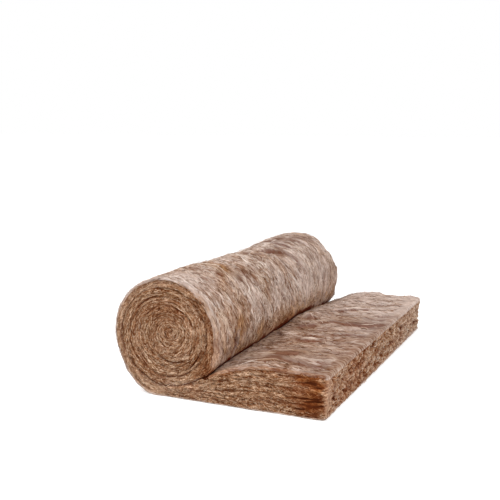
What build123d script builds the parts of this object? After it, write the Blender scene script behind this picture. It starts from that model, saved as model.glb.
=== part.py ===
"""A partly unrolled mat of glass wool insulation, lying on a level floor. Millimetres, +Z up.

The mat is one piece of wool. Most of it is still wound up into a roll that lies on its side. The outermost turn
leaves the roll along the floor, where the squeezed wool swells back to its full thickness and ends in a square cut.
+Y runs along the roll, +X from the roll towards the cut end, and the origin is under the middle of the whole.
"""

from build123d import *

from itertools import cycle
from math import asin, cos, degrees, radians, sin, tan
import os

# The mat, swollen back to its full thickness at the cut end
mat_width = 1200.0
mat_thickness = 142.0
tail_reach = 547.0
swell_length = 226.0
cut_edge_radius = 8.0

# The outside of the roll, which slumps towards the floor on the side away from the tail
roll_radius = 190.0
roll_centre_height = 204.0
crease_angle = 37.6
crease_radius = 4.0
slump_angle = 23.0
slump_radius = 146.0
rim_radius = 6.0

# The line between the turns, which shows on both ends of the roll
outer_turn = 24.0
low_side_pitch = 34.0
high_side_pitch = 22.0
winding_tilt = 36.0
eye_radius = 14.0
groove_width = 7.0
groove_depth = 14.0
groove_runout = 5.0

# The box round the whole part is centred on the origin in X and Y.
roll_x = (roll_radius - tail_reach) / 2
cut_end_x = roll_x + tail_reach
near_end_y = -mat_width / 2


def around(centre, radius, angle):
    """The point of the section at radius from centre, where angle is in degrees and turns from +X to +Z."""
    return (centre[0] + radius * cos(radians(angle)), centre[1] + radius * sin(radians(angle)))


roll_centre = (roll_x, roll_centre_height)
crease = around(roll_centre, roll_radius, -crease_angle)


def winding_arcs():
    """The line between the turns, from the crease inwards, as arcs: the centre, radius, start and size of each.

    After the first turn it is made of half circles that meet on one tilted line through the roll's centre. Each is
    smaller than the one before it by half the pitch of the turns on the side where it ends.
    """
    radius = roll_radius - outer_turn
    lowest = roll_centre_height - radius
    run, rise = crease[0] - roll_x, crease[1] - lowest
    lead_in_radius = (run**2 + rise**2) / (2 * rise)
    lead_in = degrees(asin(run / lead_in_radius))
    yield (roll_x, lowest + lead_in_radius), lead_in_radius, -90, lead_in + groove_runout
    low_side = 180 + winding_tilt
    yield roll_centre, radius, low_side, 270 - low_side

    centre = roll_centre
    for start, step in cycle([(winding_tilt, high_side_pitch / 2), (low_side, low_side_pitch / 2)]):
        radius -= step
        if radius < eye_radius:
            return
        centre = around(centre, step, start + 180)
        yield centre, radius, start, 180


with BuildPart() as winding_groove:
    for centre, radius, start, size in winding_arcs():
        start_x, start_z = around(centre, radius, start)
        outwards = Vector(start_x - centre[0], 0, start_z - centre[1])
        across = Plane((start_x, near_end_y, start_z), x_dir=outwards, z_dir=outwards.cross(Vector(0, 1, 0)))
        with BuildSketch(across):
            with BuildLine():
                Polyline((-groove_width, -groove_depth), (groove_width, -groove_depth), (0, groove_depth), close=True)
            make_face()
        revolve(axis=Axis((centre[0], near_end_y, centre[1]), (0, -1, 0)), revolution_arc=size)

with BuildPart() as mat:
    with BuildSketch(Plane.XZ) as section:
        slump_start = around(roll_centre, roll_radius, 180 + slump_angle)
        slump_foot = (slump_start[0] + slump_start[1] * tan(radians(slump_angle)), 0)
        full_thickness = (crease[0] + swell_length, mat_thickness)
        with BuildLine():
            CenterArc(roll_centre, roll_radius, -crease_angle, 180 + crease_angle + slump_angle)
            Polyline(slump_start, slump_foot, (cut_end_x, 0), (cut_end_x, mat_thickness), full_thickness)
            TangentArc(full_thickness, crease, tangent=(-1, 0))
        make_face()
        foot_corner = section.vertices().sort_by_distance((slump_foot[0], 0, slump_foot[1]))[0]
        fillet(foot_corner, slump_radius)
        crease_corner = section.vertices().sort_by_distance((crease[0], 0, crease[1]))[0]
        fillet(crease_corner, crease_radius)
        cut_corners = section.vertices().group_by(Axis.X)[-1]
        fillet(cut_corners, cut_edge_radius)
    extrude(amount=mat_width / 2, both=True)
    ends = mat.faces().group_by(Axis.Y)
    fillet(ends[0].edges() + ends[-1].edges(), rim_radius)
    add(winding_groove.part, mode=Mode.SUBTRACT)
    mirror(winding_groove.part, about=Plane.XZ, mode=Mode.SUBTRACT)
mat.part.label = "insulation_mat"

os.makedirs("parts", exist_ok=True)
export_step(mat.part, "parts/insulation_mat.step")
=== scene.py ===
"""The looks of a partly unrolled mat of brown glass wool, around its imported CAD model.

Metres, +Z up, near end at -Y. One closed mesh stands for the mat, with its skin, its wound ends and its cut
end in relief. Loose strands lie on it. A place of the skin is found by s, its distance along the outline of
the section, and by y. The outline starts deep in the fold of the crease, goes over the roll, under the mat,
up the cut end and back over the tail. A place of an end is found by its distance along the mat from the cut
end, and by its share of the mat's thickness, from the outer face of the roll to the inner one.
"""

import math

import bpy
import numpy as np
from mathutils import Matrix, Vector
from mathutils.geometry import delaunay_2d_cdt
from mathutils.kdtree import KDTree


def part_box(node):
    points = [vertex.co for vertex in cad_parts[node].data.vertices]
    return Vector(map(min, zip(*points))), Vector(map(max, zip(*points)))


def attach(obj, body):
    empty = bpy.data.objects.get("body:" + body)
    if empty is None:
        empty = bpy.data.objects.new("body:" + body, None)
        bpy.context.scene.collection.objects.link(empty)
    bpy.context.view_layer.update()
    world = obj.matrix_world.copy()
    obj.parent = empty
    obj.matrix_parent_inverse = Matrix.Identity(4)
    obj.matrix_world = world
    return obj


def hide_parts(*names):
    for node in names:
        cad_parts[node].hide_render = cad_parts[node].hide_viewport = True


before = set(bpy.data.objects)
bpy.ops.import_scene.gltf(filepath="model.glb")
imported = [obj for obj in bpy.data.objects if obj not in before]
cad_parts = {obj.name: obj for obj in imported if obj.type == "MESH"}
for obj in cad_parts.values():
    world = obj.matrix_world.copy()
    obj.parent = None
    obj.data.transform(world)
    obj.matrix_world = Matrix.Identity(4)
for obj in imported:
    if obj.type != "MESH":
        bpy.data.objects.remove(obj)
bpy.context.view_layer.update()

# The shape of the section, from the solid's box and the mat's own sizes
low, high = (np.array(corner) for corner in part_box("insulation_mat"))
HALF_WIDTH = high[1]
CUT_X = high[0]
ROLL_RADIUS = 0.190
ROLL = np.array([low[0] + ROLL_RADIUS, high[2] - ROLL_RADIUS])
THICKNESS = 0.142
SWELL_LENGTH = 0.226
CREASE_ANGLE = math.radians(-37.6)
SLUMP_ANGLE = math.radians(203)
SLUMP_RADIUS = 0.146
CORNER_RADIUS = 0.012
CORNER_SHARE = 0.29
FOLD_DEPTH = 0.018
FOLD_MOUTH = math.radians(0.7)

# The winding: angles about the roll are clockwise from its lowest point, as seen from the near end.
TURNS = 5.9
FIRST_LINE_RADIUS = 0.164
OUTER_TURN_RADIUS = 0.178
PITCH = FIRST_LINE_RADIUS / TURNS
EYE = ROLL + (0.022, 0.016)
CREASE_TURN = math.radians(-52.4)
CREASE_END = 2 * math.pi + CREASE_TURN
FIRST_LINE_BULGE = {
    -52.4: 22, -45: 9.5, -30: 2.5, 0: 0, 60: 2.5, 90: 8, 120: 6, 150: 4.5, 200: 5, 250: 3, 330: 0,
}

# Splits in the wound near end: angles from +X in degrees, and in millimetres their distances from the middle of
# the roll and how deep they are
SPLITS = (
    ((60, 105), (175, 175), 4),
    ((-25, 30, 39, 45, 57), (178, 176, 171, 165, 155), 8),
    ((158, 176), (99, 95), 11),
    ((252, 312), (77, 100), 10),
    ((188, 236), (134, 132), 8),
    ((100, 140), (132, 135), 6),
    ((20, 70), (104, 98), 6),
    ((300, 345), (128, 130), 7),
)

# The tables of the skin are in millimetres. A place on the roll is s and y, and one on the tail is x and y.
# Pale locks: places, number of strands, and spread
ROLL_LOCKS = (
    (((470, -330), (398, -300), (349, -331), (314, -348), (272, -379), (235, -405)), 16, 6),
    (((451, -255), (398, -235), (369, -199), (318, -219)), 7, 8),
    (((330, -225), (280, -262), (253, -290), (215, -289)), 12, 5),
    (((465, -30), (425, -75), (380, -110), (340, -100)), 10, 9),
    (((270, 100), (230, 111), (185, 130), (140, 135)), 10, 6),
    (((240, -200), (200, -190), (160, -160), (120, -165)), 10, 6),
    (((300, -575), (250, -560), (190, -530), (130, -505)), 12, 7),
    (((300, 500), (240, 520), (170, 500), (120, 510)), 8, 6),
    (((720, -420), (660, -380), (600, -400), (560, -350)), 12, 7),
    (((660, 130), (620, 190), (560, 180), (510, 220)), 12, 7),
)
TAIL_LOCKS = (
    (((267, 391), (285, 430), (301, 468)), 8, 5),
    (((250, 100), (280, 140), (310, 190), (334, 214)), 10, 5),
    (((330, 86), (285, 46), (235, 36), (180, 50)), 10, 5),
    (((90, 52), (60, 85), (30, 120)), 10, 6),
    (((225, -215), (190, -235), (150, -230)), 8, 5),
    (((60, -560), (110, -520), (150, -540)), 8, 8),
    (((230, 300), (190, 272), (150, 246)), 8, 5),
)

# Furrows: start and end, width, depth, and stain
ROLL_FURROWS = (
    (((150, -456), (127, -468)), 6.5, 9, 0.8),
    (((127, -468), (86, -466)), 7, 11, 1.0),
    (((86, -466), (30, -480)), 7, 11, 1.0),
    (((165, -424), (118, -436)), 13, 2, 1.3),
    (((118, -436), (45, -456)), 13, 2, 1.1),
    (((165, -30), (215, -60)), 8, 6, 0.5),
    (((110, 20), (190, 60)), 5, 5, 0.4),
    (((437, 0), (395, 50)), 12, 8, 0.6),
    (((425, 120), (385, 160)), 12, 8, 0.6),
    (((470, 575), (150, 578)), 4.5, 5, 0.6),
)
TAIL_FURROWS = (
    (((345, 64), (285, 22)), 11.5, 4.8, 0.2),
    (((285, 22), (230, 11)), 11.5, 5.3, 0.2),
    (((230, 11), (168, 25)), 11.5, 5.3, 0.2),
    (((168, 25), (125, 14)), 10.5, 4.8, 0.3),
    (((229, 276), (184, 247)), 12, 4.8, 0.2),
    (((184, 247), (147, 220)), 12, 4.8, 0.2),
    (((330, 390), (230, 380)), 12, 3.4, 0.0),
    (((220, -240), (170, -266)), 12, 4.5, 0.3),
    (((170, -266), (136, -248)), 12, 4.5, 0.3),
    (((250, -535), (176, -490)), 16, 2.8, 0.2),
    (((195, -425), (135, -420)), 16, 3, 0.2),
    (((330, -120), (230, -140)), 11, 3.6, 0.1),
    (((120, -40), (75, -72)), 12, 8, 0.4),
    (((90, 60), (45, 50)), 10, 7, 0.6),
)

# How far up the roll the crease lies over its plain place, at places along y
CREASE_RISE = (
    (-600, -545, -458, -314, -142, 4, 80, 152, 279, 432, 600),
    (0, 16, 24, 27, 33, 35, 41, 45, 33, 11, 0),
)

# Pits of the cut end that show most, as y and z
CUT_PITS = ((-244, 91), (-262, 84), (-429, 87), (167, 58), (384, 128))

# How much painted shade each metre of depth puts in a furrow of the skin, and how much painted highlight its
# height puts on a crest
ROLL_FURROW_DARKNESS, TAIL_FURROW_DARKNESS = 100, 190
CREST_PAINTED_HIGHLIGHT = 260

# Grid steps
ROLL_STEP, BACK_STEP, FLOOR_STEP, TOP_STEP, WIDTH_STEP = 0.0085, 0.010, 0.030, 0.0075, 0.0058
ROUND_STEP = 0.004
FAR_RIM_RADIUS = 0.034
NEAR_RIM_ROWS = (0, 0.0015, 0.004, 0.008, 0.0135)
FAR_RIM_ROWS = (0, 0.0006, 0.002, 0.005, 0.010, 0.018, 0.027)
NEAR_STEP, FAR_STEP, CUT_STEP = 0.0025, 0.0036, 0.0034
NEAR_SEED, FAR_SEED, CUT_SEED = 81, 91, 61
TAIL_GRID_SEED, CUT_GRID_SEED = 71, 73

# How far each row of points on a wound end starts past the row before it, in radians
ROW_STAGGER = 0.011

# The tones of the mat's vertices, each from 0 to 1: how much skin is there, how sunken, stained and pale it is.
# Sunken is mostly painted shade in hollows, gaps, pits, furrows and the crease, with some darker patches.
# Stain also holds painted warm shade by the crease, and pale holds painted light and highlights in places.
TONES = ("skin", "sunken", "stain", "pale")

# The third coordinate of the grain: far apart for the skin, which has 0, the wound ends, their rims and the cut
END_LAYER, SEAM_LAYER, CUT_LAYER = 10.0, 50.0, 5.0

# The scale of the grain on top of the tail, where the marks are larger than on the roll
TAIL_GRAIN = 0.70

# How deep the ends of a strand are stuck in the wool, and the lowest place of a strand over the floor
STUCK_DEPTH, STRAND_FLOOR = 0.0012, 0.0003

# The light that comes from all sides
AMBIENT = 0.60


# Noise
def hashed(cells, seed):
    """A number from 0 to 1 for each row of three whole numbers."""
    primes = np.array([73856093, 19349663, 83492791], dtype=np.uint64)
    mixed = (cells.astype(np.int64).view(np.uint64) * primes).sum(-1) + np.uint64(seed * 2654435761)
    for shift, factor in ((15, 2246822519), (13, 3266489917)):
        mixed = mixed & np.uint64(0xFFFFFFFF)
        mixed = (mixed ^ (mixed >> np.uint64(shift))) * np.uint64(factor)
    mixed = mixed & np.uint64(0xFFFFFFFF)
    return (mixed ^ (mixed >> np.uint64(16))) / 0xFFFFFFFF


def noise(points, seed):
    """Smooth noise from -1 to 1 at each row of three coordinates, with marks about one unit across."""
    cell = np.floor(points)
    t = points - cell
    t = t * t * t * (t * (t * 6 - 15) + 10)
    total = 0
    for corner in np.ndindex(2, 2, 2):
        weight = np.prod(np.where(corner, t, 1 - t), axis=-1)
        total = total + weight * hashed(cell + corner, seed)
    return 2 * total - 1


def marks(along, across, length, breadth, seed, octaves=1, layer=0.0):
    """Noise from -1 to 1, with marks of that length and breadth in metres. Each octave halves both."""
    total, weight = 0, 0
    for octave in range(octaves):
        scale = 2**octave
        parts = np.broadcast_arrays(along * scale / length, across * scale / breadth, layer)
        total = total + noise(np.stack(parts, -1).astype(float), seed + 17 * octave) / scale
        weight += 1 / scale
    return total / weight


# Shapes of a value
def smooth_step(value, start, end):
    """0 before the start and 1 after the end, with a smooth way between them."""
    t = np.clip((value - start) / (end - start), 0, 1)
    return t * t * (3 - 2 * t)


def fall(value, start, end):
    """1 before the start and 0 after the end."""
    return 1 - smooth_step(value, start, end)


def plateau(value, start, full, last, end):
    """1 from full to last, easing to 0 at the start and at the end."""
    return smooth_step(value, start, full) * fall(value, last, end)


def hump(value, centre, width):
    """1 at the centre, easing to nearly 0 at twice the width from it."""
    return np.exp(-(((value - centre) / width) ** 2))


def line_hump(x, y, start, end, width):
    """1 along a straight line from start to end, easing to nearly 0 at twice the width from it."""
    step_x, step_y = end[0] - start[0], end[1] - start[1]
    share = ((x - start[0]) * step_x + (y - start[1]) * step_y) / (step_x**2 + step_y**2)
    share = np.clip(share, 0, 1)
    return hump(np.hypot(x - start[0] - share * step_x, y - start[1] - share * step_y), 0, width)


def pointing(angle):
    """The unit vector at an angle from +X, as two coordinates."""
    return np.stack([np.cos(angle), np.sin(angle)], -1)


def at_turn(angle):
    """The unit vector from the middle of the roll at an angle clockwise from its lowest point."""
    return np.stack([-np.sin(angle), -np.cos(angle)], -1)


# The outline of the section
CREASE = ROLL + ROLL_RADIUS * pointing(CREASE_ANGLE)
FULL_X = CREASE[0] + SWELL_LENGTH


def arc(centre, radius, start, end):
    """Points and outward normals along an arc, every half millimetre, where angles turn from +X to +Z."""
    normals = pointing(np.linspace(start, end, max(3, int(abs(end - start) * radius / 0.0005))))
    return centre + radius * normals, normals


def straight(start, end):
    """The same along a straight line."""
    start, end = np.array(start), np.array(end)
    length = np.linalg.norm(end - start)
    shares = np.linspace(0, 1, max(3, int(length / 0.0005)))[:, None]
    along = (end - start) / length
    return start + shares * (end - start), np.tile([along[1], -along[0]], (len(shares), 1))


def first_line_bulge(turned):
    """How far the winding line stands out of its plain spiral."""
    return np.interp(turned, np.radians(list(FIRST_LINE_BULGE)), list(FIRST_LINE_BULGE.values())) / 1000


def winding_line(turned):
    """The line between the turns, at each angle turned from the lowest point. It starts at the crease."""
    share = np.minimum(turned / (2 * math.pi * TURNS), 1)
    radius = FIRST_LINE_RADIUS * (1 - share) + first_line_bulge(turned)
    return ROLL + share[:, None] * (EYE - ROLL) + radius[:, None] * at_turn(turned)


def outline():
    """The parts of the closed outline, each as points and outward normals."""
    r, c, half = ROLL_RADIUS, CORNER_RADIUS, math.pi / 2
    slump = pointing(SLUMP_ANGLE)
    hang_start = ROLL + r * slump
    hang_drop = hang_start[1] - SLUMP_RADIUS * (1 + slump[1])
    hang_end = hang_start + hang_drop * np.array([slump[1] / slump[0], -1])
    foot = np.array([hang_end[0] - SLUMP_RADIUS * slump[0], SLUMP_RADIUS])
    swell_drop = THICKNESS - CREASE[1]
    swell_radius = (SWELL_LENGTH**2 + swell_drop**2) / (2 * swell_drop)
    swell_angle = math.asin(SWELL_LENGTH / swell_radius)
    fold_end = winding_line(np.array([CREASE_TURN + FOLD_DEPTH / r]))[0]
    return {
        "fold_roof": straight(fold_end, ROLL + r * pointing(CREASE_ANGLE + FOLD_MOUTH)),
        "roll": arc(ROLL, r, CREASE_ANGLE + FOLD_MOUTH, SLUMP_ANGLE),
        "hang": straight(hang_start, hang_end),
        "foot": arc(foot, SLUMP_RADIUS, SLUMP_ANGLE, 3 * half),
        "floor": straight((foot[0], 0), (CUT_X - c, 0)),
        "low_corner": arc((CUT_X - c, c), c, -half, 0),
        "cut": straight((CUT_X, c), (CUT_X, THICKNESS - c)),
        "high_corner": arc((CUT_X - c, THICKNESS - c), c, 0, half),
        "top": straight((CUT_X - c, THICKNESS), (FULL_X, THICKNESS)),
        "swell": arc((FULL_X, THICKNESS - swell_radius), swell_radius, half, half + swell_angle),
        "fold_floor": straight(CREASE, fold_end),
    }


def tabulate_outline():
    """The outline's distances, points and smoothed normals, where its parts start and end, and its length."""
    distances, parts_of, length = [], {}, 0.0
    for name, (points, _) in PIECES.items():
        steps = np.linalg.norm(np.diff(points, axis=0), axis=1)
        parts_of[name] = (length, length + steps.sum())
        distances.append(length + np.concatenate([[0], np.cumsum(steps)]))
        length += steps.sum()
    kernel = np.hanning(17)
    normals = np.concatenate([sides for _, sides in PIECES.values()])
    normals = np.concatenate([normals[-8:], normals, normals[:8]])
    normals = np.stack([np.convolve(normals[:, axis], kernel / kernel.sum(), "valid") for axis in (0, 1)], -1)
    normals /= np.linalg.norm(normals, axis=1)[:, None]
    points = np.concatenate([points for points, _ in PIECES.values()])
    return {"s": np.concatenate(distances), "point": points, "normal": normals}, parts_of, length


PIECES = outline()
TABLE, ends, LOOP = tabulate_outline()
ROLL_START, TOP_START, TAIL_END = ends["roll"][0], ends["high_corner"][1], ends["swell"][1]
OUTLINE_TREE = KDTree(len(TABLE["point"]))
for number, place in enumerate(TABLE["point"]):
    OUTLINE_TREE.insert((*place, 0), number)
OUTLINE_TREE.balance()


def section(s):
    """The outline's points and normals at distances s along it."""
    s = np.mod(s, LOOP)
    found = [np.interp(s, TABLE["s"], values) for part in ("point", "normal") for values in TABLE[part].T]
    return np.stack(found[:2], -1), np.stack(found[2:], -1)


def window(s, start, end, soft=0.012):
    """1 on the outline from one part's start to another's end, easing to 0 outside."""
    first, last = ends[start][0], ends[end][1]
    return plateau(s, first - soft, first + soft, last - soft, last + soft)


def top_s(x):
    """The distance along the outline of a place on top of the tail."""
    return TOP_START + CUT_X - CORNER_RADIUS - x


def in_metres(places, on_tail):
    """Places of a table of the skin, as rows of s and y in metres."""
    first, y = np.array(places).T / 1000
    return np.column_stack([top_s(first) if on_tail else first, y])


# Places inside the section
def turned_angle(points):
    """The angle of each point about the roll, clockwise from its lowest point, from 0 to a full turn."""
    offset = points - ROLL
    return np.mod(np.arctan2(-offset[:, 0], -offset[:, 1]), 2 * math.pi)


def tabulated(points):
    """Angle and radius about the roll of a line that goes round it, sorted by angle."""
    angles, radii = turned_angle(points), np.linalg.norm(points - ROLL, axis=1)
    order = np.argsort(angles)
    return angles[order], radii[order]


WRAP_END = ends["foot"][1] + ROLL[0] - PIECES["floor"][0][0, 0]
OUTSIDE = tabulated(section(np.linspace(ROLL_START, WRAP_END, 800))[0])
FIRST_LINE = tabulated(winding_line(np.linspace(0.001, 2 * math.pi, 600)))
LEAD_IN = tabulated(winding_line(np.linspace(CREASE_TURN, -0.001, 100)))
TOP_LINE = np.concatenate([
    winding_line(np.linspace(CREASE_TURN, 0, 100))[::-1],
    PIECES["swell"][0][::-1],
    [(FULL_X, THICKNESS), (CUT_X, THICKNESS)],
]).T


def mat_place(points):
    """For points of the section: distance along the mat, share of thickness, turn, thickness, line distance."""
    radius = np.linalg.norm(points - ROLL, axis=1)
    angle = turned_angle(points)
    first, lead = np.interp(angle, *FIRST_LINE), np.interp(angle, *LEAD_IN)
    past_crease = angle > CREASE_END
    outer = np.where(past_crease, lead, np.interp(angle, *OUTSIDE))
    tail = (points[:, 0] > ROLL[0]) & ((radius > ROLL_RADIUS) | (past_crease & (radius > lead)))

    inner_share = np.zeros(len(points))
    fade = smooth_step(radius, 0.09, 0.15)
    bulge = first_line_bulge(angle)
    for _ in range(6):
        centre = ROLL + inner_share[:, None] * (EYE - ROLL)
        from_centre = np.linalg.norm(points - centre, axis=1) - bulge * fade
        inner_share = np.clip(1 - from_centre / FIRST_LINE_RADIUS, 0, 1)
    local = points - (ROLL + inner_share[:, None] * (EYE - ROLL))
    inner_angle = np.mod(np.arctan2(-local[:, 0], -local[:, 1]), 2 * math.pi)
    turns = inner_share * TURNS - inner_angle / (2 * math.pi)
    turn = np.maximum(np.floor(turns), 0)

    wrap = ~tail & (radius > first)
    top = np.interp(points[:, 0], *TOP_LINE)
    share = np.where(wrap, (outer - radius) / (outer - first), turns - turn)
    share = np.where(tail, points[:, 1] / top, share)
    thickness = np.where(tail, top, np.where(wrap, outer - first, PITCH))
    wound = np.where(wrap, angle, inner_angle + 2 * math.pi * (turn + 1))
    along = np.where(tail, CUT_X - points[:, 0], wound_length(wound))
    to_line = np.where(wrap, radius - first, np.minimum(share, 1 - share) * PITCH)
    under_crease = points[:, 0] < CREASE[0]
    to_line = np.where(tail, np.where(under_crease, (top - points[:, 1]) * 0.85, 1.0), to_line)
    to_line = np.where(wrap & past_crease, np.minimum(to_line, lead - radius), to_line)
    return along, share, np.where(tail | wrap, -1, turn), thickness, to_line


def wound_length(angle):
    """How far along the mat from the cut end the wound part is, at an angle turned from the lowest point."""
    return CUT_X - ROLL[0] + OUTER_TURN_RADIUS * angle - PITCH * angle**2 / (4 * math.pi)


# The form of the skin
def cut_lean(z, y):
    """How far the cut end leans out, more at its top and towards the far end."""
    return 0.002 + 0.005 * z / THICKNESS + 0.0035 * (y + HALF_WIDTH) / (2 * HALF_WIDTH)


def leaned(x, z, y):
    """How far a place of the tail is moved out, so that the mat reaches its leaning cut end."""
    return cut_lean(z, y) * smooth_step(x, FULL_X - 0.1, CUT_X)


def fray(s, y):
    """How far the torn rim of the skin lies inside the plane of the end."""
    return 0.0012 + 0.0030 * marks(s, np.sign(y), 0.026, 1.0, 17, 3)


def rim_inset(distance, radius):
    """How far a rounded edge draws the skin in, at a distance from the end."""
    past = np.clip(1 - distance / radius, 0, 1)
    return radius * (1 - np.sqrt(1 - past**2))


def rim_angle(distance, radius):
    """How far a rounded edge has turned towards the end, at a distance from the end."""
    return np.arcsin(np.clip(1 - distance / radius, 0, 1))


def rim_stretch(distance, radius):
    """How much longer the way over a rounded edge is than the part of the roll's length that it covers."""
    turned = rim_angle(distance, radius)
    return radius * (turned - np.sin(turned))


def facing(s):
    """1 on the side of the roll that faces the tail and on its top."""
    return plateau(s, ROLL_START, ROLL_START + 0.05, ROLL_START + 0.26, ROLL_START + 0.34)


def rim_radii(s):
    """The radii of the skin's rounded rims at the near end and at the far end."""
    under = window(s, "floor", "floor")
    round_side = plateau(s, ROLL_START, ROLL_START + 0.07, *ends["foot"])
    far_radius = 0.008 + (FAR_RIM_RADIUS - 0.008) * round_side - 0.004 * under
    return 0.007 - 0.003 * under + 0.006 * facing(s), far_radius


def corner_inset(distance):
    """The same for the mat's upright corners, where each face goes as far as the middle of the round."""
    return rim_inset(np.maximum(distance, CORNER_SHARE * CORNER_RADIUS), CORNER_RADIUS)


def lift(x, y):
    """How much higher the top of the tail lies than the plain section, in two humps at the far edge."""
    long_hump = plateau(x, 0.03, 0.08, 0.195, 0.225)
    raised = 0.0015 + 0.0085 * long_hump + 0.0055 * hump(x, 0.325, 0.022)
    return hump(y, HALF_WIDTH, 0.11) * raised * (x > CREASE[0])


def girth(s, y):
    """How far the roll stands out of a plain cylinder: it is slack in the middle, most of all at its back."""
    slack = 0.0075 * hump(y, -0.10, 0.22) + 0.013 * hump(y, 0.10, 0.085) - 0.003 * hump(y, 0.45, 0.06)
    at_back = hump(s, 0.44, 0.12) * (0.010 * hump(y, 0.145, 0.026) + 0.011 * hump(y, 0.235, 0.055))
    far_side = 0.006 * hump(y, HALF_WIDTH, 0.09) * hump(s, 0.25, 0.07)
    return -slack - at_back - far_side


def free_side(s, height):
    """1 on the roll's upper part, which can stand in or out, easing to 0 towards the floor."""
    return window(s, "fold_roof", "foot") * smooth_step(height, 0.18, 0.36)


def crease_rise(y):
    """How far up the roll the crease lies over its plain place."""
    ragged = 0.0045 * marks(y, 0.0, 0.060, 1.0, 28, 3)
    ragged = ragged * smooth_step(HALF_WIDTH - np.abs(y), 0.0, 0.04)
    return np.interp(y, *np.array(CREASE_RISE) / 1000) + ragged


def raised_section(s, y):
    """The outline's points and normals, with the crease moved up the roll by its rise at each y."""
    rise = crease_rise(y)
    on_roll = (s >= ROLL_START) * fall(s, ROLL_START, ROLL_START + 0.12)
    base, normal = section(s + rise * on_roll)
    beside = (s < ROLL_START) + smooth_step(s, TAIL_END - 0.19, TAIL_END)
    moved = section(ROLL_START + rise)[0] - section(ROLL_START + 0 * rise)[0]
    return base + beside[:, None] * moved, normal


def skin_point(s, y, raised=0.0):
    """Points of the skin at places s and y, raised over it along its normal."""
    base, normal = raised_section(s, y)
    near_radius, far_radius = rim_radii(s)
    inset = rim_inset(y + HALF_WIDTH, near_radius) + rim_inset(HALF_WIDTH - y, far_radius)
    outwards = skin_height(s, y)[0] - inset + girth(s, y) * free_side(s, base[:, 1]) + raised
    placed = base + outwards[:, None] * normal
    placed[:, 0] += leaned(placed[:, 0], placed[:, 1], y)
    placed[:, 1] += lift(base[:, 0], y) * base[:, 1] / THICKNESS
    placed[:, 1] = np.maximum(placed[:, 1], 0.0004)
    frayed = y - np.sign(y) * fray(s, y) * hump(HALF_WIDTH - np.abs(y), 0, 0.008)
    return np.column_stack([placed[:, 0], frayed, placed[:, 1]])


# The relief and the tones of the skin
def wandered(s, y):
    """y, moved so that marks that follow it wind along the skin."""
    return y + 0.035 * marks(s, y, 0.17, 0.22, 11) + 0.012 * marks(s, y, 0.07, 0.09, 14)


def ledges(s, y, spacing, length, seed):
    """Winding steps of the skin that run along it, each with a hollow before it and a crest behind it.

    Gives the depth of the hollows and the height of the crests, from 0 to 1, and how dark each step's painted
    shade is.
    """
    level = y / spacing + 0.9 * marks(s, y, 2.2 * length, 1.6 * spacing, seed, 2)
    line = np.round(level)
    past = level - line
    opened = smooth_step(marks(s, line, length, 1.0, seed + 1, 2), -0.05, 0.45)
    hollow = np.where(past < 0, np.exp(past / 0.17), 0) * opened
    crest = np.where(past >= 0, np.exp(-past / 0.13), 0) * opened
    return hollow, crest, hump(past, -0.03, 0.055) * opened


def furrowed(s, y):
    """The skin's own furrows: their depth, the crests behind them, how dark their painted shade is, and how
    stained they are.
    """
    wiggle = y + 0.009 * marks(s, y, 0.035, 0.035, 13) + 0.004 * marks(s, y, 0.014, 0.02, 25)
    depth = crests = dark = stain = 0
    for number, (places, width, deepest, colour) in enumerate(ROLL_FURROWS + TAIL_FURROWS):
        on_tail = number >= len(ROLL_FURROWS)
        start, end = in_metres(places, on_tail)
        width, deepest = width / 1000, deepest / 1000
        darkness = deepest * (TAIL_FURROW_DARKNESS if on_tail else ROLL_FURROW_DARKNESS)
        depth = depth + deepest * line_hump(s, wiggle, start, end, width)
        crests = crests + 0.55 * deepest * line_hump(s, wiggle - 1.7 * width, start, end, 0.8 * width)
        dark = dark + darkness * line_hump(s, wiggle - 0.5 * width, start, end, 0.9 * width)
        stain = stain + colour * line_hump(s, wiggle, start, end, 1.9 * width)
    return depth, crests, dark, stain


def tail_tuft(s, y):
    """1 on a tuft of the tail that stands up beside the crease, easing to 0 round it."""
    ragged = 0.005 * marks(s, y, 0.02, 0.02, 30, 2)
    return line_hump(s, y + ragged, *in_metres(((70, 70), (28, 100)), True), 0.014)


def crease_warm_shade(y, least=0.30):
    """How strong the painted warm shade beside the crease is: most in the middle of its length."""
    return least + (1 - least) * hump(y, 0.10, 0.20)


def crease_breadth(y):
    """How broad the dark line of the crease, which is painted shade, is on the roll."""
    broad = 0.020 * hump(y, 0.0, 0.07) + 0.013 * hump(y, 0.25, 0.09)
    return 0.014 + broad + 0.007 * marks(y, 0.0, 0.04, 1.0, 27, 3)


def skin_cover(s, y):
    """1 on the skin, and less where the torn wool shows through it: over the rims, and by the crease as painted
    shade.
    """
    ragged = marks(s, y, 0.03, 0.02, 20, 2)
    torn = y + HALF_WIDTH + 0.010 * ragged
    torn_far = HALF_WIDTH - y + 0.003 * ragged
    rim = 0.70 * facing(s) * fall(torn, 0.001, 0.024)
    rim = rim + 0.65 * window(s, "top", "swell") * fall(torn, 0.002, 0.016)
    rim = rim + 0.80 * fall(torn_far, 0.0005, 0.0060)
    from_crease = s - ROLL_START + 0.016 * marks(s, y, 0.03, 0.02, 29, 2) - crease_breadth(y)
    mouth = fall(s, ROLL_START + 0.015, ROLL_START + 0.040) + smooth_step(s, TAIL_END - 0.012, TAIL_END)
    end_of_fold = fall(HALF_WIDTH - np.abs(y), 0.012, 0.045) * mouth
    return 1 - np.maximum(np.maximum(rim, end_of_fold), 0.75 * fall(from_crease, 0.0, 0.055) * crease_warm_shade(y))


def far_marks(s, y):
    """The larger marks of the far part of the roll, from -1 to 1."""
    return marks(s, wandered(s, y), 0.050, 0.026, 35, 2) * smooth_step(y, -0.20, 0.20)


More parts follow.
